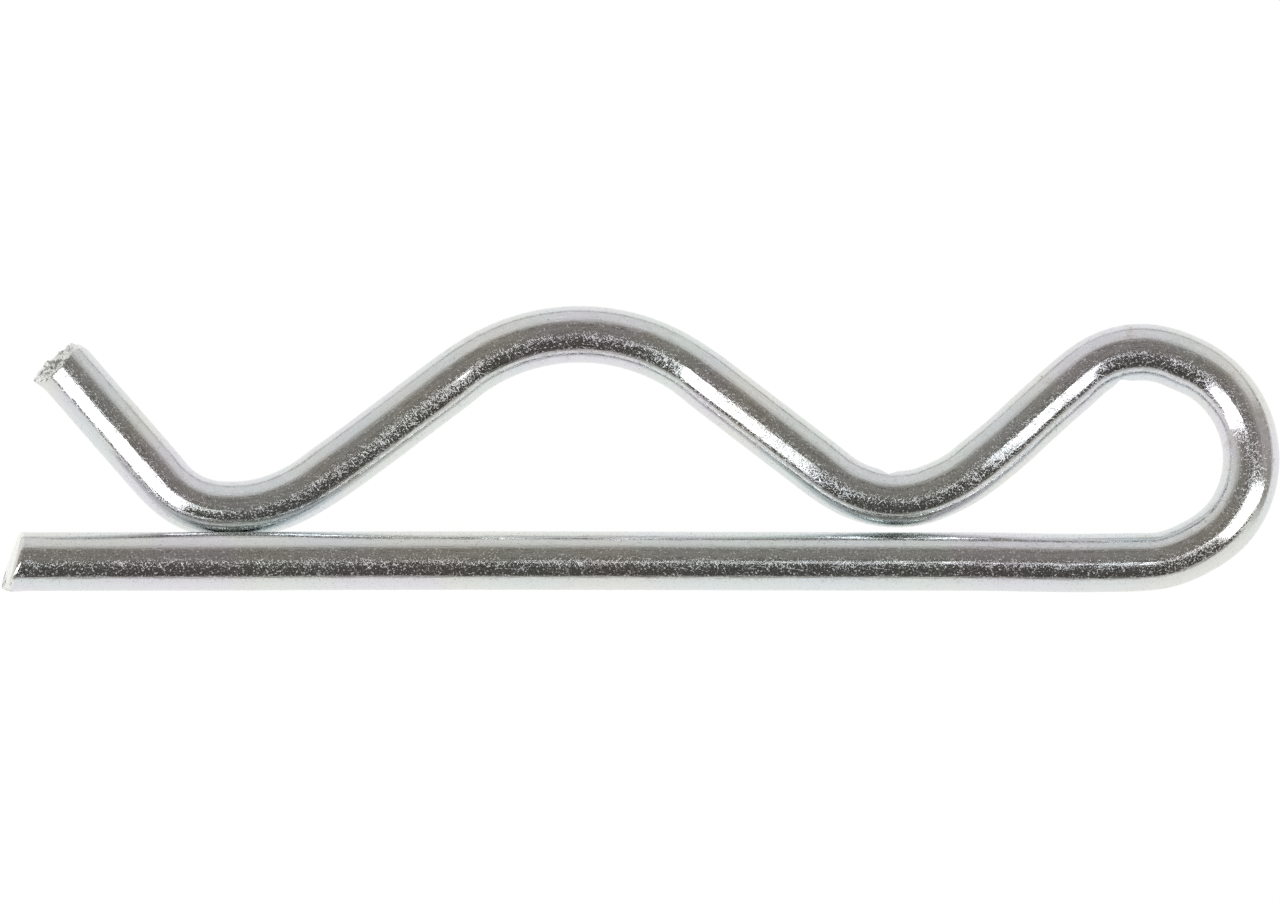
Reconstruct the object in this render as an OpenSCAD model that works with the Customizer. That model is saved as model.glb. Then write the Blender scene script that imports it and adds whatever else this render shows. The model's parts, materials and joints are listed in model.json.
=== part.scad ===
// R-clip (spring cotter): one length of round spring wire, bent into a straight leg
// that goes through a cross hole and a wavy spring arm that grips the shaft outside.
//
// The loop and the arm lie flat in one plane. The leg leaves the loop at a slight
// angle to that plane, so that it crosses over the toe of the arm without touching it.
// Bending stretches the wire, so each bend is a little thinner than the straights on
// both sides of it, and it is let into their ends by a small lap.

/* [Wire] */
// Diameter of the wire
wire_d = 3; // [2.6:0.05:3.4]
// How much thinner the wire is in its bends, across the diameter
bend_thinning = 0.06; // [0.04:0.01:0.14]

/* [Leg] */
// Length of the leg, from the loop to the middle of its sheared end
leg_length = 58.1; // [56:0.1:66]
// Clear gap between the leg and the toe that it crosses over
toe_gap = 0.05; // [0.05:0.05:0.5]

/* [Loop] */
// Inside radius of the loop
loop_r = 3.75; // [3.2:0.05:4.3]
// Angle that the loop turns through from the leg to its flat, in degrees
loop_angle = 157; // [145:1:170]
// Length of the flat between the loop and the nose
loop_flat = 0.75; // [0.4:0.05:2]
// Inside radius of the nose, where the loop turns down into the neck
nose_r = 3.05; // [2.5:0.05:3.8]

/* [Neck and valley] */
// Slope of the neck that comes down from the loop, in degrees
neck_angle = 41; // [36:0.5:48]
// Inside radius of the valley
valley_r = 4.1; // [3.4:0.05:5]
// Clear gap between the valley and the leg, seen square to the clip
valley_gap = 0.2; // [0.1:0.05:1.2]

/* [Seat] */
// Largest shaft that fits between the leg's middle line and the crest
shaft_d = 20; // [18:0.5:23]
// Clearance between that shaft and the crest
seat_clearance = 0.15; // [0:0.05:0.5]
// Slope of the arm that rises from the valley to the crest, in degrees
rise_angle = 37.5; // [33:0.5:44]
// Inside radius of the crest
crest_r = 8.5; // [7:0.1:10.5]
// Slope of the arm that falls from the crest to the toe, in degrees
fall_angle = 37; // [33:0.5:44]

/* [Toe and tail] */
// Inside radius of the toe where the arm comes down to it
toe_in_r = 6; // [4.5:0.05:8]
// Length of the flat at the bottom of the toe
toe_flat = 0.3; // [0.3:0.05:1.5]
// Inside radius of the toe where it turns up into the tail
toe_out_r = 2.7; // [2.2:0.05:4]
// How far the toe dips past the near edge of the leg, seen square to the clip
toe_dip = 0.35; // [0:0.05:0.8]
// Slope of the flared tail, in degrees
tail_angle = 49; // [40:0.5:56]
// Length of the straight tail, to the middle of its sheared end
tail_length = 8.25; // [4:0.05:9.5]

/* [Sheared ends] */
// Lean of the leg's sheared end in the plane of the clip, in degrees
leg_end_lean_angle = 16.5; // [0:0.5:30]
// Tilt of the leg's sheared end towards the upper side, in degrees
leg_end_tilt_angle = 9; // [0:0.5:25]
// Tilt of the tail's sheared end towards the upper side, in degrees
tail_end_tilt_angle = 12; // [0:0.5:25]

/* [Press marks] */
// Depth of the mark that the forming tool leaves inside the nose
nose_mark = 0.15; // [0.05:0.05:0.4]
// Depth of the mark that the forming tool leaves inside the valley
valley_mark = 0.2; // [0.05:0.05:0.4]
// Angle between the two sides of a mark, in degrees
mark_angle = 140; // [130:1:150]

/* [Hidden] */
$fn = 96;
wire_r = wire_d / 2;
bend_wire_r = (wire_d - bend_thinning) / 2;
// How far a bend runs into the straights on both sides of it
lap = 0.1;
// Stock left past a sheared end, for the shear to take off
shear_stock = wire_d;
wire_colour = [0.74, 0.75, 0.76];

// The middle line is followed from the start of the loop. A station on it is
// [x, y, heading], with the leg along y = 0 and headings in degrees. A bend turns left
// where its turn is positive and right where it is negative.
function ahead(s, length) =
    [s.x + length * cos(s.z), s.y + length * sin(s.z), s.z];
function bend_centre(s, r, turn) =
    [s.x - sign(turn) * r * sin(s.z), s.y + sign(turn) * r * cos(s.z)];
function turned(s, r, turn) =
    let (c = bend_centre(s, r, turn), h = s.z + turn)
    [c.x + sign(turn) * r * sin(h), c.y - sign(turn) * r * cos(h), h];
// Length of a straight of the given slope that drops from one height to another, less
// what the bend at its foot or top drops by itself
function straight_length(drop, slope, r) = (drop - r * (1 - cos(slope))) / sin(slope);

// Radii of the middle line in the bends
loop_mid_r = loop_r + bend_wire_r;
nose_mid_r = nose_r + bend_wire_r;
valley_mid_r = valley_r + bend_wire_r;
crest_mid_r = crest_r + bend_wire_r;
toe_in_mid_r = toe_in_r + bend_wire_r;
toe_out_mid_r = toe_out_r + bend_wire_r;

// Angles that the bends turn through
nose_angle = 180 + neck_angle - loop_angle;
valley_angle = -neck_angle - rise_angle;
crest_angle = rise_angle + fall_angle;

// Heights of the arm's middle line above the leg's, seen square to the clip
valley_y = wire_r + valley_gap + bend_wire_r;
crest_y = shaft_d / 2 + seat_clearance + bend_wire_r;
toe_y = wire_d - toe_dip;

// Stations from the loop to the end of the tail
loop_start = [0, 0, 0];
loop_end = turned(loop_start, loop_mid_r, loop_angle);
nose_start = ahead(loop_end, loop_flat);
neck_start = turned(nose_start, nose_mid_r, nose_angle);
neck_length = straight_length(neck_start.y - valley_y, neck_angle, valley_mid_r);
valley_start = ahead(neck_start, neck_length);
rise_start = turned(valley_start, valley_mid_r, valley_angle);
rise_length = straight_length(crest_y - rise_start.y, rise_angle, crest_mid_r);
crest_start = ahead(rise_start, rise_length);
fall_start = turned(crest_start, crest_mid_r, crest_angle);
fall_length = straight_length(fall_start.y - toe_y, fall_angle, toe_in_mid_r);
toe_start = ahead(fall_start, fall_length);
toe_flat_start = turned(toe_start, toe_in_mid_r, -fall_angle);
toe_flat_end = ahead(toe_flat_start, toe_flat);
tail_start = turned(toe_flat_end, toe_out_mid_r, -tail_angle);
tail_end = ahead(tail_start, tail_length);

// Rise of the leg over the toe that leaves the toe gap between the two round wires,
// and the slight angle of the leg that gives this rise there
toe_rise = sqrt(pow(wire_d + toe_gap, 2) - pow(toe_y, 2));
leg_angle = atan(toe_rise / -toe_flat_start.x);
leg_tip_x = -leg_length * cos(leg_angle);

// Box around the clip: a sheared end reaches past its middle by the wire's radius
// times the slope of the cut
leg_end_slopes = [tan(leg_end_tilt_angle), tan(leg_end_lean_angle) / cos(leg_end_tilt_angle)];
leg_min_x = leg_tip_x - wire_r * norm([sin(leg_angle) + cos(leg_angle) * leg_end_slopes.x,
                                       cos(leg_angle) * leg_end_slopes.y]);
tail_end_slope = tan(tail_end_tilt_angle);
tail_min_x = tail_end.x - wire_r * norm([tail_end_slope * cos(tail_end.z), sin(tail_end.z)]);
tail_max_y = tail_end.y + wire_r * norm([tail_end_slope * sin(tail_end.z), cos(tail_end.z)]);
nose_max_y = bend_centre(nose_start, nose_mid_r, nose_angle).y + nose_mid_r + bend_wire_r;
crest_max_y = crest_y + bend_wire_r;
min_x = min(leg_min_x, tail_min_x);
max_x = loop_mid_r + bend_wire_r;
max_y = max(crest_max_y, nose_max_y, tail_max_y);
box_centre = [(min_x + max_x) / 2, (max_y - wire_r) / 2];

// Straight wire from a station
module straight_wire(s, length) {
    translate([s.x, s.y, wire_r])
        rotate([0, 90, s.z])
            cylinder(d = wire_d, h = length);
}

// Bent wire from a station, with its lap at both ends
module bent_wire(s, r, turn) {
    lap_turn = lap / r * 180 / PI;
    first = s.z - 90 * sign(turn) + min(turn, 0);
    translate(concat(bend_centre(s, r, turn), wire_r))
        rotate([0, 0, first - lap_turn])
            rotate_extrude(angle = abs(turn) + 2 * lap_turn)
                translate([r, 0])
                    circle(r = bend_wire_r);
}

// What the shear takes off past the end of a wire that runs along +Z, with the face
// turned about X by lean and about Y by tilt
module shear_waste(lean, tilt) {
    rotate([lean, tilt, 0])
        translate([-wire_d, -wire_d, 0])
            cube([2 * wire_d, 2 * wire_d, 2 * shear_stock]);
}

// V-shaped mark across the inside of a bend, at the middle of its turn. Its sides stop
// in the open middle of the bend.
module press_mark(s, r, turn, depth) {
    apex = r - bend_wire_r + depth;
    side = apex * cos(mark_angle / 2);
    corner = [apex - side * cos(mark_angle / 2), side * sin(mark_angle / 2)];
    translate(concat(bend_centre(s, r, turn), wire_r))
        rotate([0, 0, s.z - 90 * sign(turn) + turn / 2])
            linear_extrude(wire_d, center = true)
                polygon([[apex, 0], corner, [corner.x, -corner.y]]);
}

// Straight leg, from the loop to its sheared end
module leg() {
    translate([0, 0, wire_r])
        rotate([0, leg_angle - 90, 0])
            difference() {
                cylinder(d = wire_d, h = leg_length + shear_stock);
                translate([0, 0, leg_length])
                    shear_waste(-leg_end_lean_angle, leg_end_tilt_angle);
            }
}

// Loop, its flat and its nose
module loop() {
    bent_wire(loop_start, loop_mid_r, loop_angle);
    straight_wire(loop_end, loop_flat);
    difference() {
        bent_wire(nose_start, nose_mid_r, nose_angle);
        press_mark(nose_start, nose_mid_r, nose_angle, nose_mark);
    }
}

// Spring arm: neck, valley, rise, crest, fall and toe
module arm() {
    straight_wire(neck_start, neck_length);
    difference() {
        bent_wire(valley_start, valley_mid_r, valley_angle);
        press_mark(valley_start, valley_mid_r, valley_angle, valley_mark);
    }
    straight_wire(rise_start, rise_length);
    bent_wire(crest_start, crest_mid_r, crest_angle);
    straight_wire(fall_start, fall_length);
    bent_wire(toe_start, toe_in_mid_r, -fall_angle);
    straight_wire(toe_flat_start, toe_flat);
    bent_wire(toe_flat_end, toe_out_mid_r, -tail_angle);
}

// Flared tail with its sheared end
module tail() {
    difference() {
        straight_wire(tail_start, tail_length + shear_stock);
        translate([tail_end.x, tail_end.y, wire_r])
            rotate([0, 90, tail_end.z])
                shear_waste(0, -tail_end_tilt_angle);
    }
}

// The whole clip, with its underside on z = 0 and its box centred on the origin
module clip_wire() {
    color(wire_colour)
        translate([-box_centre.x, -box_centre.y, 0]) {
            leg();
            loop();
            arm();
            tail();
        }
}

clip_wire();
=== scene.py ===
"""R-clip: one length of zinc plated spring wire with a straight leg, a loop and a wavy spring arm."""

import json
import math

import bpy
import numpy as np
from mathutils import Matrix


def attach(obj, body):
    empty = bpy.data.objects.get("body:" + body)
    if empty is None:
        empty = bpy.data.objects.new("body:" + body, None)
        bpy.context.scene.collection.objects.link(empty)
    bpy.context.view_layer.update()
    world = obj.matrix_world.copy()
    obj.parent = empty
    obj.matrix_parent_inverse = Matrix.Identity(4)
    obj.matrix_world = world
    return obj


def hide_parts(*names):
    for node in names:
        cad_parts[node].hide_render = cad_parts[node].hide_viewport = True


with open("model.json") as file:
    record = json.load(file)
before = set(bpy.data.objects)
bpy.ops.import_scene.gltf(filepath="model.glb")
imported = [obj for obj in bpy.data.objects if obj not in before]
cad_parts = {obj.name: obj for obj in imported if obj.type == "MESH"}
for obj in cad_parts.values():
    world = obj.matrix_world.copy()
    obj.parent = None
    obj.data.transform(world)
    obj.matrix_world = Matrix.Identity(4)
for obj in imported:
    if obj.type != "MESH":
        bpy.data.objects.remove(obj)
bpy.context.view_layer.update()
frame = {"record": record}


# The run of the wire. A coiling machine feeds 3 mm spring wire, pushes it round pins one bend at a
# time and shears it off. The leg, the seat of the shaft and the eye of the loop come from the frame;
# the other bends are set by their inside radius and the slope of the straight that follows them.
MM = 0.001
mounts = {mount["name"]: mount for mount in frame["record"]["mounts"]}
leg_tip = np.array(mounts["leg"]["pos_m"])
leg_length = mounts["leg"]["dims"]["length_mm"] * MM
leg_angle = math.asin(mounts["leg"]["axis"][2])
wire_r = mounts["leg"]["dims"]["r_mm"] * MM
loop_r = mounts["loop_eye"]["dims"]["r_mm"] * MM
shaft_r = mounts["shaft_seat"]["dims"]["r_mm"] * MM

bend_thinning = 0.06 * MM
bend_r = wire_r - bend_thinning / 2
loop_angle = math.radians(157)
loop_flat = 0.75 * MM
nose_mid_r = 3.05 * MM + bend_r
neck_angle = math.radians(41)
valley_mid_r = 4.1 * MM + bend_r
valley_gap = 0.2 * MM
rise_angle = math.radians(37.5)
crest_mid_r = 8.5 * MM + bend_r
seat_clearance = 0.15 * MM
fall_angle = math.radians(37)
toe_in_mid_r = 6 * MM + bend_r
toe_flat = 0.3 * MM
toe_out_mid_r = 2.7 * MM + bend_r
toe_dip = 0.35 * MM
tail_angle = math.radians(49)
tail_length = 8.25 * MM

loop_mid_r = loop_r + bend_r
valley_y = wire_r + valley_gap + bend_r
crest_y = shaft_r + seat_clearance + bend_r
toe_y = 2 * wire_r - toe_dip
nose_y = (loop_mid_r * (1 - math.cos(loop_angle)) + loop_flat * math.sin(loop_angle)
          + nose_mid_r * (1 + math.cos(loop_angle)))


def straight(climb, slope, *mid_radii):
    """Length of a straight: what is left of its climb, once the bends at both of its ends have each
    climbed radius * (1 - cos slope), divided by sin slope."""
    return (climb - sum(mid_radii) * (1 - math.cos(slope))) / math.sin(slope)


def bend(mid_r, turn):
    """A bend as its length along the middle line and the angle it turns, left if positive."""
    return mid_r * abs(turn), turn


stretches = np.array([
    (leg_length, 0),
    bend(loop_mid_r, loop_angle),
    (loop_flat, 0),
    bend(nose_mid_r, math.pi + neck_angle - loop_angle),
    (straight(nose_y - valley_y, neck_angle, nose_mid_r, valley_mid_r), 0),
    bend(valley_mid_r, -neck_angle - rise_angle),
    (straight(crest_y - valley_y, rise_angle, valley_mid_r, crest_mid_r), 0),
    bend(crest_mid_r, rise_angle + fall_angle),
    (straight(crest_y - toe_y, fall_angle, crest_mid_r, toe_in_mid_r), 0),
    bend(toe_in_mid_r, -fall_angle),
    (toe_flat, 0),
    bend(toe_out_mid_r, -tail_angle),
    (tail_length, 0),
])
stretch_end = np.cumsum(stretches[:, 0])
wire_length = stretch_end[-1]

# The wire is followed in short steps. Real wire doesn't change all at once where a bend starts: its
# curvature, its thinning and the lift of the leg each come in over a short run.
step = 0.02 * MM
curvature_run_in = 1.1 * MM
thinning_run_in = 2.4 * MM
lift_run_in = 3 * MM


def eased(values, width):
    """A running mean of values along the wire, weighted by a raised cosine of the given width."""
    window = np.hanning(round(width / step) | 1)
    reach = len(window) // 2
    padded = np.pad(values, reach, mode="edge")
    return np.convolve(padded, window / window.sum(), mode="valid")


along = np.arange(0, wire_length + step / 2, step)
here = np.searchsorted(stretch_end, along).clip(max=len(stretches) - 1)
curvature = eased(stretches[here, 1] / stretches[here, 0], curvature_run_in)
bentness = eased((stretches[here, 1] != 0).astype(float), thinning_run_in)
lift = eased(np.where(here == 0, leg_angle, 0.0), lift_run_in)


def summed(rate):
    """The integral of a rate along the wire from its first end, by the trapezium rule."""
    return np.concatenate([[0], np.cumsum((rate[1:] + rate[:-1]) / 2 * step)])


def drift(place, reach, offset):
    """A slight sideways departure of the wire from its drawing, to the left if positive, as a change
    of heading: the slope of a bell that stands at a place and falls off over its reach."""
    x = (along - place) / reach
    return -2 * x * np.exp(-x ** 2) * offset / reach


heading = (summed(curvature)
           + drift(place=24.0 * MM, reach=14.0 * MM, offset=0.05 * MM)
           + drift(place=54.5 * MM, reach=3.5 * MM, offset=-0.08 * MM)
           + drift(place=60.6 * MM, reach=1.6 * MM, offset=0.11 * MM)
           + drift(place=83.5 * MM, reach=1.8 * MM, offset=0.08 * MM)
           + drift(place=87.5 * MM, reach=1.4 * MM, offset=-0.08 * MM)
           + drift(place=125.0 * MM, reach=2.2 * MM, offset=-0.08 * MM))
plan_x = summed(np.cos(heading) * np.cos(lift))
plan_y = summed(np.sin(heading) * np.cos(lift))
height = -summed(np.sin(lift))
middle_line = np.stack([plan_x + leg_tip[0], plan_y + leg_tip[1], height - height[-1] + wire_r], 1)


# The skin of the wire: rings square to the middle line, closer together in the bends, at the press
# marks and at the sheared ends. Bending stretches the wire, so the bends are a little thinner, most
# of all across the bend, and the forming pins leave a shallow V inside the nose and the valley.
AROUND = 104
ring_gap = 0.46 * MM
closer_in_bends = 2.2
closer_at_ends, end_reach = 9, 1.3 * MM
closer_at_marks, mark_reach = 4, 0.8 * MM
bend_flattening = 0.02 * MM
nose_mark_depth, nose_mark_shift = 0.24 * MM, 0.75 * MM
valley_mark_depth, valley_mark_shift = 0.2 * MM, 0.8 * MM
mark_slope = math.radians(16)
mark_softness = 0.02 * MM
nose_mark_at = (stretch_end[2] + stretch_end[3]) / 2 + nose_mark_shift
valley_mark_at = (stretch_end[4] + stretch_end[5]) / 2 + valley_mark_shift


def closeness(place, reach, times):
    """How many times closer the rings stand near a place: a bell that falls off over its reach."""
    return times * np.exp(-((along - place) / reach) ** 2)


density = (1 + closer_in_bends * bentness
           + closeness(0, end_reach, closer_at_ends)
           + closeness(wire_length, end_reach, closer_at_ends)
           + closeness(nose_mark_at, mark_reach, closer_at_marks)
           + closeness(valley_mark_at, mark_reach, closer_at_marks)) / ring_gap
ring_count = summed(density)
rings = np.interp(np.linspace(0, ring_count[-1], round(ring_count[-1])), ring_count, along)
angle = np.arange(AROUND) * 2 * math.pi / AROUND


def at_rings(values):
    """Values that are known along the whole wire, read off at the rings, as one column."""
    return np.interp(rings, along, values)[:, None]


def mark_limit(place, depth, slope):
    """How far out the skin may reach on the inside of a bend: the wire's radius less a V that is
    depth deep at its place and rises by its slope on both sides."""
    return bend_r - depth + np.abs(rings - place)[:, None] * math.tan(slope)


def smooth_least(a, b, softness):
    """The lesser of a and b, rounded where they cross: their mean less half the length of the slanted
    side of a right triangle whose other sides are their difference and the softness."""
    return (a + b - np.sqrt((a - b) ** 2 + softness ** 2)) / 2


across_r = wire_r - at_rings(bentness) * (bend_thinning / 2 + bend_flattening)
upright_r = wire_r - at_rings(bentness) * bend_thinning / 2
side = across_r * np.cos(angle)
up = upright_r * np.sin(angle)
nose_limit = mark_limit(nose_mark_at, nose_mark_depth, mark_slope)
valley_limit = mark_limit(valley_mark_at, valley_mark_depth, mark_slope)
side = smooth_least(side, nose_limit, mark_softness)
side = -smooth_least(-side, valley_limit, mark_softness)


# The two sheared ends. The blade rolls the wire's edge over where it enters, shines the first part
# of the cut, and tears the rest off in coarse grains that end in a burr. The leg's cut is mostly
# smooth; the tail's is nearly all torn. Both were cut before plating, so zinc covers them too.
LATTICE = 64
END_RINGS = 26
RIM_RINGS = 7
hub_start = 0.97
rim_r = 0.05 * MM
tear_edge, tear_wander = 0.18 * MM, 0.3 * MM
blade_line = 0.004 * MM
burr_spread = 0.9
slide_reach, flare_reach = 2.2 * MM, 0.75 * MM


def grain(x, y, cell, seed):
    """Smooth random hills: seeded heights from -1 to 1 on a square lattice with the given cell,
    joined by the cubic that is flat at every lattice point."""
    heights = np.random.default_rng(seed).uniform(-1, 1, (LATTICE, LATTICE))
    u, v = x / cell + LATTICE / 2, y / cell + LATTICE / 2
    i, j = np.floor(u).astype(int) % LATTICE, np.floor(v).astype(int) % LATTICE
    fu, fv = (t * t * (3 - 2 * t) for t in (u % 1, v % 1))
    i2, j2 = (i + 1) % LATTICE, (j + 1) % LATTICE
    near = heights[i, j] * (1 - fu) + heights[i2, j] * fu
    far = heights[i, j2] * (1 - fu) + heights[i2, j2] * fu
    return near * (1 - fv) + far * fv


def steps(low, high, x):
    """The cubic that goes from 0 at low to 1 at high and is flat at both."""
    t = np.clip((x - low) / (high - low), 0, 1)
    return t * t * (3 - 2 * t)


class ShearedEnd:
    """The shape of one cut, in the wire's own section: side and up are measured from the middle line,
    and out along it, away from the wire."""

    def __init__(self, lean, tilt, twist, shoulder, draw_back, shoulder_side, roll, roll_towards,
                 burr, burr_towards, tear, tear_from, seed):
        self.lean, self.tilt, self.twist = math.tan(lean), math.tan(tilt), twist
        self.shoulder, self.draw_back, self.shoulder_side = shoulder, draw_back, shoulder_side
        self.roll, self.roll_towards = roll, roll_towards
        self.burr, self.burr_towards = burr, burr_towards
        self.tear, self.tear_from, self.seed = tear, tear_from, seed

    def facing(self, side, up, towards, sharpness):
        """Near 1 on the side of the section that faces a direction, 0 on the far side: half of one
        plus the cosine of the angle between them, to a power."""
        a = np.arctan2(up, side)
        return ((1 + np.cos(a - towards)) / 2) ** sharpness

    def plane(self, side, up):
        """How far out the cut lies: its lean times side plus its tilt times up, both falling, with the
        tilt growing to the side by the twist for every radius. The blade draws one side back as a
        quarter oval: the shoulder's width across the wire, and the draw-back along it."""
        into = np.clip((self.shoulder_side * side - wire_r) / self.shoulder + 1, 0, 1)
        shoulder_drop = self.draw_back * (1 - np.sqrt(1 - into ** 2))
        twisted_tilt = self.tilt * up * (1 + self.twist * side / wire_r)
        return -(self.lean * side + twisted_tilt + shoulder_drop)

    def torn(self, side, up):
        """Share of tear, from 0 on the shorn part to 1 on the torn part past the line tear_from,
        measured towards the burr."""
        towards = side * math.cos(self.burr_towards) + up * math.sin(self.burr_towards)
        wander = tear_wander * grain(side, up, 0.5 * MM, self.seed)
        return steps(-tear_edge, tear_edge, towards + wander - self.tear_from)

    def relief(self, side, up):
        """Height of the torn grains: three sizes of random hills, the coarsest the highest, with a
        faint ripple of blade lines where the cut is shorn."""
        coarse = grain(side, up, 0.55 * MM, self.seed + 1)
        middling = grain(side, up, 0.26 * MM, self.seed + 2)
        fine = grain(side, up, 0.15 * MM, self.seed + 3)
        lines = grain(side + 0.3 * up, up * 0.04, 0.09 * MM, self.seed + 4)
        torn = self.torn(side, up)
        hills = self.tear * (coarse + 0.9 * middling + 0.6 * fine)
        return torn * hills + (1 - torn) * blade_line * lines

    def rim(self, side, up):
        """Radius that rounds the edge: a small one all round and the roll-over on one side."""
        return rim_r + self.roll * self.facing(side, up, self.roll_towards, 2)

    def lip(self, side, up):
        """How far the burr stands out, both along the wire and away from it."""
        ragged = 1 + 0.5 * grain(side, up, 0.3 * MM, self.seed + 5)
        return self.burr * self.facing(side, up, self.burr_towards, 9) * ragged


leg_end = ShearedEnd(
    lean=math.radians(-16.5), tilt=math.radians(5.5), twist=0.5,
    shoulder=0.2 * MM, draw_back=0.6 * MM, shoulder_side=1,
    roll=0.3 * MM, roll_towards=math.radians(84),
    burr=0.03 * MM, burr_towards=math.radians(-20),
    tear=0.03 * MM, tear_from=0.9 * MM, seed=11)
tail_end = ShearedEnd(
    lean=math.radians(5), tilt=math.radians(12), twist=0.4,
    shoulder=0.8 * MM, draw_back=0.8 * MM, shoulder_side=-1,
    roll=0.02 * MM, roll_towards=math.radians(120),
    burr=0.16 * MM, burr_towards=math.radians(-10),
    tear=0.17 * MM, tear_from=-1.05 * MM, seed=23)


def end_rings(end, wall_side, wall_up):
    """Rings of a cut from the wall inwards, as side, up and out. The first few round the rim by a
    quarter circle; the rest shrink evenly to a small hub and carry the relief of the tear."""
    rim = end.rim(wall_side, wall_up)
    radius = np.hypot(wall_side, wall_up)
    turn = np.linspace(0, math.pi / 2, RIM_RINGS)[:, None]
    inwards = np.linspace(0, hub_start, END_RINGS)[1:, None]
    inset = [rim * (1 - np.cos(turn)), rim + (radius - rim) * inwards]
    drop = [rim * (1 - np.sin(turn)), np.zeros((END_RINGS - 1, 1)) * rim]
    share = 1 - np.concatenate(inset) / radius
    side, up = wall_side * share, wall_up * share
    # The relief grows from the rim inwards, and the burr fades out on the same way.
    inner = steps(0.98, 0.8, share)
    out = end.plane(side, up) - np.concatenate(drop) + end.relief(side, up) * inner
    lip = end.lip(wall_side, wall_up) * steps(0.6, 1, share)
    spread = 1 + lip / radius * burr_spread
    return side * spread, up * spread, out + lip


def wall_flow(end, away, side, up):
    """What a cut does to the wall near it, at a distance away from the end: the rings slide along the
    wire to meet the slanted face and its rim, and the burr flares the skin out."""
    near = steps(slide_reach, 0, away)
    flare = steps(flare_reach, 0, away) ** 2
    lip = end.lip(side, up) * flare
    radius = np.hypot(side, up)
    out = near * (end.plane(side, up) - end.rim(side, up)) + lip
    spread = 1 + lip / radius * burr_spread
    return side * spread, up * spread, out


# The first end faces back along the wire, so its sides are mirrored and its out runs backwards.
start_side, start_up, start_out = wall_flow(leg_end, rings[:, None], -side, up)
final_side, final_up, final_out = wall_flow(tail_end, wire_length - rings[:, None], side, up)
first_half = rings[:, None] < wire_length / 2
wall_side = np.where(first_half, -start_side, final_side)
wall_up = np.where(first_half, start_up, final_up)
wall_out = np.where(first_half, -start_out, final_out)

leg_side, leg_up, leg_out = end_rings(leg_end, -side[0], up[0])
tail_side, tail_up, tail_out = end_rings(tail_end, side[-1], up[-1])
all_side = np.concatenate([-leg_side[:0:-1], wall_side, tail_side[1:]])
all_up = np.concatenate([leg_up[:0:-1], wall_up, tail_up[1:]])
all_out = np.concatenate([-leg_out[:0:-1], wall_out, tail_out[1:]])
face_rings = len(leg_side) - 1
station = np.concatenate([np.zeros(face_rings), rings, np.full(face_rings, wire_length)])


def on_line(values):
    """Values known along the middle line, read off at every ring of the skin and its ends."""
    return np.interp(station, along, values)[:, None]


way, climb = on_line(heading), on_line(lift)
forward = np.stack([np.cos(way) * np.cos(climb), np.sin(way) * np.cos(climb), -np.sin(climb)], -1)
leftward = np.stack([-np.sin(way), np.cos(way), np.zeros_like(way)], -1)
upward = np.cross(forward, leftward)
centre = np.stack([on_line(middle_line[:, axis]) for axis in range(3)], -1)
skin = (centre + forward * all_out[..., None] + leftward * all_side[..., None]
        + upward * all_up[..., None])

ring_total = len(station)
index = np.arange(ring_total * AROUND).reshape(ring_total, AROUND)
turned = np.roll(index, -1, axis=1)
quads = np.stack([index[:-1], turned[:-1], turned[1:], index[1:]], -1).reshape(-1, 4)
caps = [index[0, ::-1].tolist(), index[-1].tolist()]

mesh = bpy.data.meshes.new("spring_wire")
mesh.from_pydata(skin.reshape(-1, 3).tolist(), [], quads.tolist() + caps)
mesh.shade_smooth()

# Its flat pattern: the skin slit along its underside and laid out in four strips, one above the
# other, with the two cut faces as discs beside them, all at one scale.
sheet = 42.5 * MM
margin = 0.8 * MM
strips = 4
strip_length = wire_length / strips
wire_girth = 2 * math.pi * wire_r
strip_of = np.minimum((station[1:] + station[:-1]) / 2 // strip_length, strips - 1)[:, None, None]
corner_ring = np.arange(ring_total - 1)[:, None, None] + np.array([0, 0, 1, 1])
corner_column = np.arange(AROUND)[:, None] + np.array([0, 1, 1, 0])
from_slit = (np.arange(AROUND)[:, None] + AROUND // 4) % AROUND + np.array([0, 1, 1, 0])
pattern_x = station[corner_ring] - strip_of * strip_length + margin
pattern_y = (1 - from_slit / AROUND) * wire_girth + strip_of * (wire_girth + margin / 2) + margin
pattern = np.stack(np.broadcast_arrays(pattern_x, pattern_y), -1)
section = np.stack([all_side, all_up], -1)
on_section = section[corner_ring, corner_column % AROUND]
leg_disc, tail_disc = np.array([39, 3]) * MM, np.array([39, 8]) * MM
pattern[:face_rings] = on_section[:face_rings] * (-1, 1) + leg_disc
pattern[-face_rings:] = on_section[-face_rings:] + tail_disc
hubs = [section[0, ::-1] * (-1, 1) + leg_disc, section[-1] + tail_disc]
pattern = np.concatenate([pattern.reshape(-1, 2), *hubs]) / sheet
mesh.uv_layers.new(name="OFBake").data.foreach_set("uv", pattern.ravel())
spring_wire = bpy.data.objects.new("spring_wire", mesh)
bpy.context.scene.collection.objects.link(spring_wire)

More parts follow.
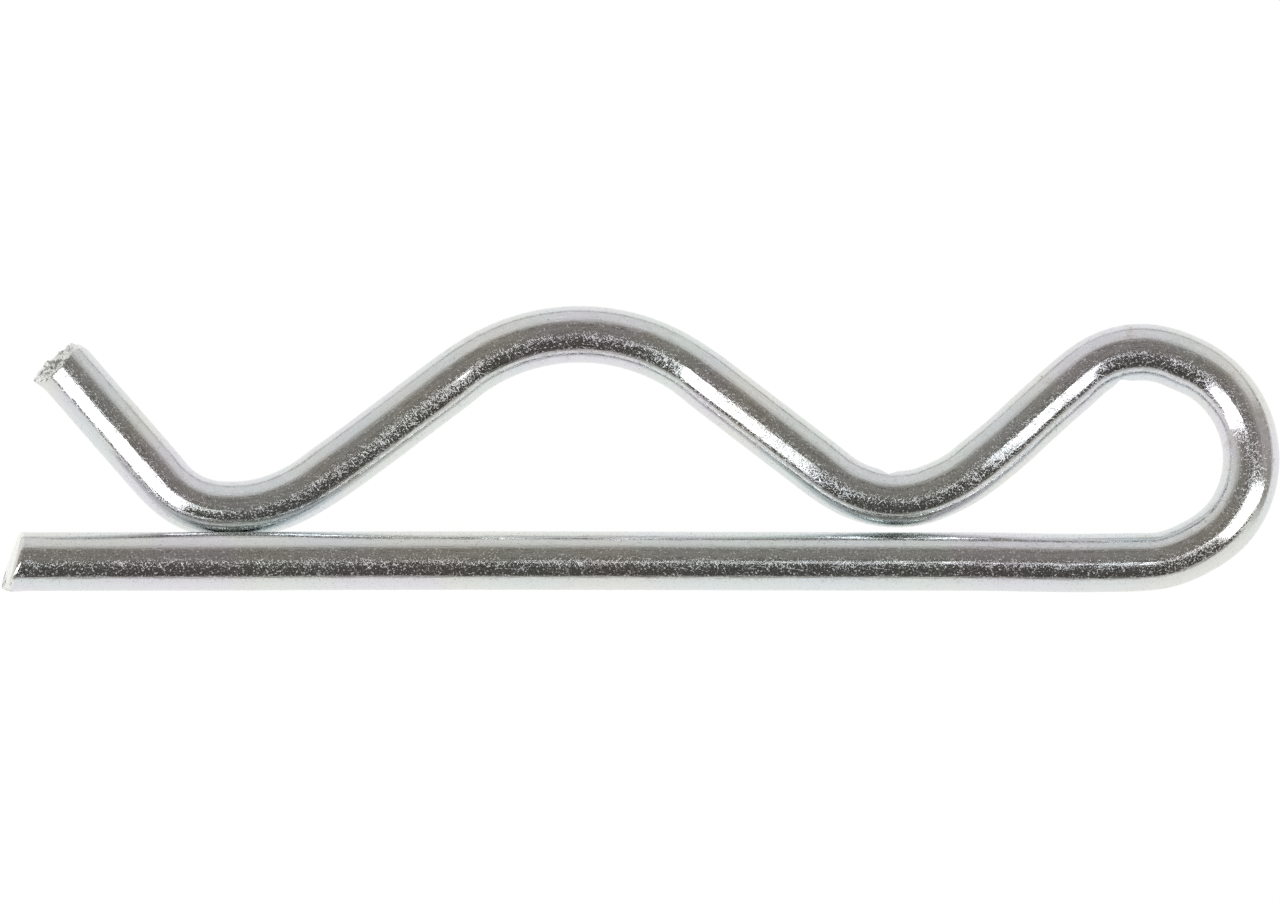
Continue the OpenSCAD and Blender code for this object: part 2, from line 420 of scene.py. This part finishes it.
# Each point keeps its place on the wire as it was drawn, for the drawing lines: how far along, and
# where in the round section. Three more values tell the shorn face of the leg, the torn part of both
# cuts and the bends from the rest of the skin.
drawn = np.stack([np.repeat(station, AROUND), (wire_r * np.tile(np.cos(angle), ring_total)),
                  (wire_r * np.tile(np.sin(angle), ring_total))], -1)
mesh.attributes.new("drawn", "FLOAT_VECTOR", "POINT").data.foreach_set("vector", drawn.ravel())
shorn = np.repeat(station == 0, AROUND).astype(float)
mesh.attributes.new("shorn", "FLOAT", "POINT").data.foreach_set("value", shorn)
torn = np.zeros((ring_total, AROUND))
torn[:face_rings] = leg_end.torn(leg_side, leg_up)[:0:-1]
torn[-face_rings:] = tail_end.torn(tail_side, tail_up)[1:]
mesh.attributes.new("torn", "FLOAT", "POINT").data.foreach_set("value", torn.ravel())
bent = np.repeat(on_line(bentness), AROUND)
mesh.attributes.new("bent", "FLOAT", "POINT").data.foreach_set("value", bent)


# The finish: bright zinc plate under a thin clear-blue passivation, on drawn wire. The plate is a
# mirror that fine pits and dust blur, with faint lines from the drawing die along the wire, short
# scratches from tumbling in a basket, and a breath of blue, green and violet where the film varies.
class Socket:
    """A node's output, with Python arithmetic for shader maths on plain values."""

    def __init__(self, tree, output):
        self.tree, self.output = tree, output

    def node(self, kind, settings=None, give=0, **inputs):
        """Adds a node of a kind, sets its settings, then its inputs by name or number, as values or
        links, and returns the wanted output."""
        made = self.tree.nodes.new("ShaderNode" + kind)
        for name, value in (settings or {}).items():
            setattr(made, name, value)
        for name, value in inputs.items():
            plug = made.inputs[int(name[1:]) if name[1:].isdigit() else name.replace("_", " ")]
            if isinstance(value, Socket):
                self.tree.links.new(value.output, plug)
            else:
                plug.default_value = value
        return Socket(self.tree, made.outputs[give] if made.outputs else None)

    def maths(self, operation, first, second=0.0):
        return self.node("Math", {"operation": operation}, n0=first, n1=second)

    def __add__(self, other): return self.maths("ADD", self, other)
    def __radd__(self, other): return self.maths("ADD", other, self)
    def __sub__(self, other): return self.maths("SUBTRACT", self, other)
    def __rsub__(self, other): return self.maths("SUBTRACT", other, self)
    def __mul__(self, other): return self.maths("MULTIPLY", self, other)
    def __rmul__(self, other): return self.maths("MULTIPLY", other, self)
    def __truediv__(self, other): return self.maths("DIVIDE", self, other)
    def __pow__(self, other): return self.maths("POWER", self, other)

    def between(self, low, high):
        """0 below low, 1 above high and a smooth step between them."""
        return self.node("MapRange", {"interpolation_type": "SMOOTHSTEP"}, Value=self,
                         From_Min=low, From_Max=high)


def new_tree(owner):
    """Clears an owner's nodes and returns a Socket to build on, with nothing behind it."""
    owner.use_nodes = True
    owner.node_tree.nodes.clear()
    return Socket(owner.node_tree, None)


def coloured(start, mask, colour):
    """Start mixed with a colour by a mask."""
    return mask.node("Mix", {"data_type": "RGBA"}, 2, n0=mask, n6=start, n7=(*colour, 1))


zinc = bpy.data.materials.new("zinc_plate")
new = new_tree(zinc)
place = new.node("TexCoord", give="Object")
on_wire = new.node("Attribute", {"attribute_name": "drawn"}, "Vector")
torn_part = new.node("Attribute", {"attribute_name": "torn"}, "Fac")
bent_part = new.node("Attribute", {"attribute_name": "bent"}, "Fac")
shorn_part = new.node("Attribute", {"attribute_name": "shorn"}, "Fac")


def stretched(vector, along_wire, around_wire):
    """Wire coordinates scaled for a pattern so fine along the wire and so fine around it."""
    return vector.node("VectorMath", {"operation": "MULTIPLY"}, n0=vector,
                       n1=(along_wire, around_wire, around_wire))


def noise(vector, scale, detail=2.0, roughness=0.5):
    """Soft random patches from 0 to 1, at a scale in patches per unit of the vector."""
    return vector.node("TexNoise", give="Fac", Vector=vector, Scale=scale, Detail=detail,
                       Roughness=roughness)


# Pits cluster where there is room for them, and dust lies thinly all over. The die lines follow the
# wire, the swell is the slow unevenness of the plate, and the rough grain is that of the torn cuts; it
# also places painted shade in the hollows between the torn grains.
pits = noise(place, 11000, 2, 0.6).between(0.47, 0.66)
dust = noise(place, 9500, 1).between(0.56, 0.74)
pit_room = noise(place, 1100, 2, 0.6).between(0.3, 0.62)
die_lines = noise(stretched(on_wire, 600, 8000), 1, 2, 0.6)
swell = noise(place, 1300, 1)
rough_grain = noise(place, 4200, 2, 0.6)


def strokes(turn, along_stroke, across_stroke):
    """Short scratches: noise drawn out along one direction on the table's plane, where it peaks."""
    turned_place = place.node("VectorRotate", {"rotation_type": "Z_AXIS"}, Vector=place,
                              Angle=math.radians(turn))
    drawn_out = place.node("VectorMath", {"operation": "MULTIPLY"}, n0=turned_place,
                           n1=(along_stroke, across_stroke, across_stroke / 3))
    return noise(drawn_out, 1, 0).between(0.72, 0.78)


scratches = strokes(62, 1500, 11000) + strokes(-38, 1100, 9000) + strokes(8, 900, 12000)

# The film changes over millimetres. Smudges are left by the forming pins, and specks are tiny holes
# in the plate.
film = noise(place, 130, 1)
film_green = noise(place, 210, 1).between(0.50, 0.66)
film_violet = noise(on_wire, 170, 1).between(0.50, 0.64)
smudge = noise(place, 780, 3, 0.6).between(0.6, 0.76)
speck_field = new.node("TexVoronoi", {"feature": "F1"}, "Distance", Vector=place, Scale=700.0)
specks = (1 - speck_field).between(0.945, 0.97) * noise(place, 400, 0).between(0.5, 0.52)

bare_zinc = (0.755, 0.76, 0.752, 1)
blue_tint, green_tint, violet_tint = (0.715, 0.757, 0.79), (0.72, 0.775, 0.75), (0.75, 0.735, 0.80)
pin_smear, dark_speck = (0.55, 0.47, 0.41), (0.12, 0.10, 0.09)
# The second colour on the next line is painted shade for the hollows of the torn cuts.
fresh_cut, painted_shade_in_tears = (0.9, 0.905, 0.895), (0.2, 0.22, 0.21)
colour = coloured(bare_zinc, film.between(0.42, 0.62) * 0.9, blue_tint)
colour = coloured(colour, film_green * 0.5, green_tint)
colour = coloured(colour, film_violet * 0.8, violet_tint)
colour = coloured(colour, smudge * bent_part * 0.45, pin_smear)
colour = coloured(colour, specks * 0.75, dark_speck)
colour = coloured(colour, shorn_part.maths("MAXIMUM", shorn_part, torn_part), fresh_cut)
# Painted shade: dark patches between the torn grains of the cuts, where shade would fall.
colour = coloured(colour, torn_part * rough_grain.between(0.5, 0.56) * 0.8, painted_shade_in_tears)

# The grain blurs the mirror more than it stands out. Heights are in metres.
mirror_blur = 0.07
grainy = pits * (0.45 + pit_room * 0.55)
shine = mirror_blur + grainy * 0.22 + dust * 0.45 + scratches * 0.12 + smudge * 0.1 + torn_part * 0.05

height_of_skin = (grainy * 0.6e-6 + die_lines * 6.5e-6 + swell * 3e-6 + scratches * 1.5e-6
                  - specks * 4e-6 + rough_grain * torn_part * 90e-6)
bumps = new.node("Bump", Height=height_of_skin, Strength=1.0, Distance=1.0)
plate = new.node("BsdfPrincipled", Base_Color=colour, Metallic=1 - specks * 0.5, Roughness=shine,
                 Normal=bumps)
new.node("OutputMaterial", Surface=plate)
mesh.materials.append(zinc)

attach(spring_wire, "root")
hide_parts("clip_wire")


# The table: a plain pale sheet that the clip lies on. It is matt and carries the clip's shadow, and
# the camera sees it washed out nearly to white. Reflections get the studio's own white instead.
reach = 5.0
washed_out = 0.9
glow = 1.07
floor_mesh = bpy.data.meshes.new("floor")
floor_mesh.from_pydata([(-reach, -reach, 0), (reach, -reach, 0), (reach, reach, 0), (-reach, reach, 0)],
                       [], [(0, 1, 2, 3)])
floor = bpy.data.objects.new("floor", floor_mesh)
bpy.context.scene.collection.objects.link(floor)
paper = bpy.data.materials.new("paper")
new = new_tree(paper)
seen = new.node("LightPath", give="Is Camera Ray")
matt = new.node("BsdfDiffuse", Color=(0.9, 0.9, 0.9, 1))
white = new.node("Emission", Color=(1, 1, 1, 1), Strength=glow)
new.node("OutputMaterial", Surface=new.node("MixShader", n0=seen * washed_out, n1=matt, n2=white))
floor_mesh.materials.append(paper)
floor.visible_glossy = False


# The studio round the table: a dim, cluttered ceiling that is darker to the front, pale walls that
# brighten downwards, a bright low panel in front, and white from the table's edge down. Two tall
# softboxes stand in front, left and right of the camera. Angles are in degrees from the zenith.
world = bpy.data.worlds.new("studio")
bpy.context.scene.world = world
new = new_tree(world)
direction = new.node("TexCoord", give="Generated")
x = direction.node("SeparateXYZ", give="X", Vector=direction)
y = direction.node("SeparateXYZ", give="Y", Vector=direction)
z = direction.node("SeparateXYZ", give="Z", Vector=direction)
zenith = z.maths("ARCCOSINE", z) * (180 / math.pi)
never_zero = 1e-6
level = (x * x + y * y + never_zero) ** 0.5
to_right, to_back = x / level, y / level

# Each wall fades in between two compass directions, and grows brighter between two angles.
behind = to_back.between(0.0, 0.5)
in_front = to_back.between(-0.25, -0.7)
at_right = to_right.between(0.5, 0.95) * (1 - in_front) * (1 - to_back.between(0.35, 0.6))
clutter = noise(direction, 22, 3, 0.7).between(0.4, 0.6)
ceiling = (0.07 + y.between(-0.5, 0.35) * 0.155) * (0.4 + clutter * 1.2)
back_wall = zenith.between(46, 68) * 0.5 + zenith.between(60, 90) * 0.07
left_wall = zenith.between(26, 80) * 0.58
right_wall = zenith.between(20, 60) * 0.2
front_panel = zenith.between(58, 76) * 0.86


def blend(base, mask, other):
    """Base where the mask is 0, other where it is 1."""
    return base * (1 - mask) + mask * other


walls = blend(blend(blend(left_wall, behind, back_wall), at_right, right_wall), in_front, front_panel)
# The table's edge lies just under the horizon and drops away at the back, where it shows as a line.
table_white, edge_shade, edge_width = 0.98, 0.5, 4
table_edge = 91 + to_back.between(0.25, 0.95) * 20
below = (zenith - table_edge).between(0, 12)
edge_bell = (1 - ((zenith - table_edge) / edge_width) ** 2).between(0, 1)
edge_line = edge_bell * to_back.between(-0.05, 0.4)
light = blend(ceiling + walls, below, table_white) * (1 - edge_line * edge_shade)
warm_where_dim, near_white = (1.08, 0.985, 0.865, 1), (1.005, 1.0, 0.975, 1)
tint = new.node("Mix", {"data_type": "RGBA"}, 2, n0=light.between(0.1, 0.85), n6=warm_where_dim,
                n7=near_white)
studio = new.node("Background", Color=tint, Strength=light)
backdrop = new.node("Background", Color=(1, 1, 1, 1), Strength=1.0)
seen = new.node("LightPath", give="Is Camera Ray")
new.node("OutputWorld", Surface=new.node("MixShader", n0=seen, n1=studio, n2=backdrop))


softbox_y = -0.25


def softbox(name, left, right, low, high, radiance):
    """A rectangular lamp that stands in front of the clip and faces back over it, between two
    places across the room and two heights. Its power is its area times pi times its radiance."""
    lamp = bpy.data.lights.new(name, "AREA")
    lamp.shape, lamp.size, lamp.size_y = "RECTANGLE", right - left, high - low
    lamp.energy = radiance * math.pi * lamp.size * lamp.size_y
    holder = bpy.data.objects.new(name, lamp)
    holder.location = ((left + right) / 2, softbox_y, (low + high) / 2)
    holder.rotation_euler = (math.pi / 2, 0, 0)
    holder.visible_camera = False
    bpy.context.scene.collection.objects.link(holder)


softbox("left_softbox", left=-0.60, right=-0.180, low=0.262, high=4.4, radiance=3.0)
softbox("right_softbox", left=0.262, right=1.05, low=0.345, high=4.4, radiance=3.0)


# The camera looks straight down through a long lens, with the leg level in its view.
view_width = 65.456 * MM
aim = (-0.03 * MM, -0.097 * MM, wire_r)
camera_height = 0.9
camera_data = bpy.data.cameras.new("camera")
camera_data.sensor_width = 36
camera_data.lens = camera_data.sensor_width * camera_height / view_width
camera_data.clip_start, camera_data.clip_end = 0.01, 20
camera = bpy.data.objects.new("camera", camera_data)
camera.location = (aim[0], aim[1], aim[2] + camera_height)
bpy.context.scene.collection.objects.link(camera)
bpy.context.scene.camera = camera
bpy.context.scene.view_settings.view_transform = "Standard"
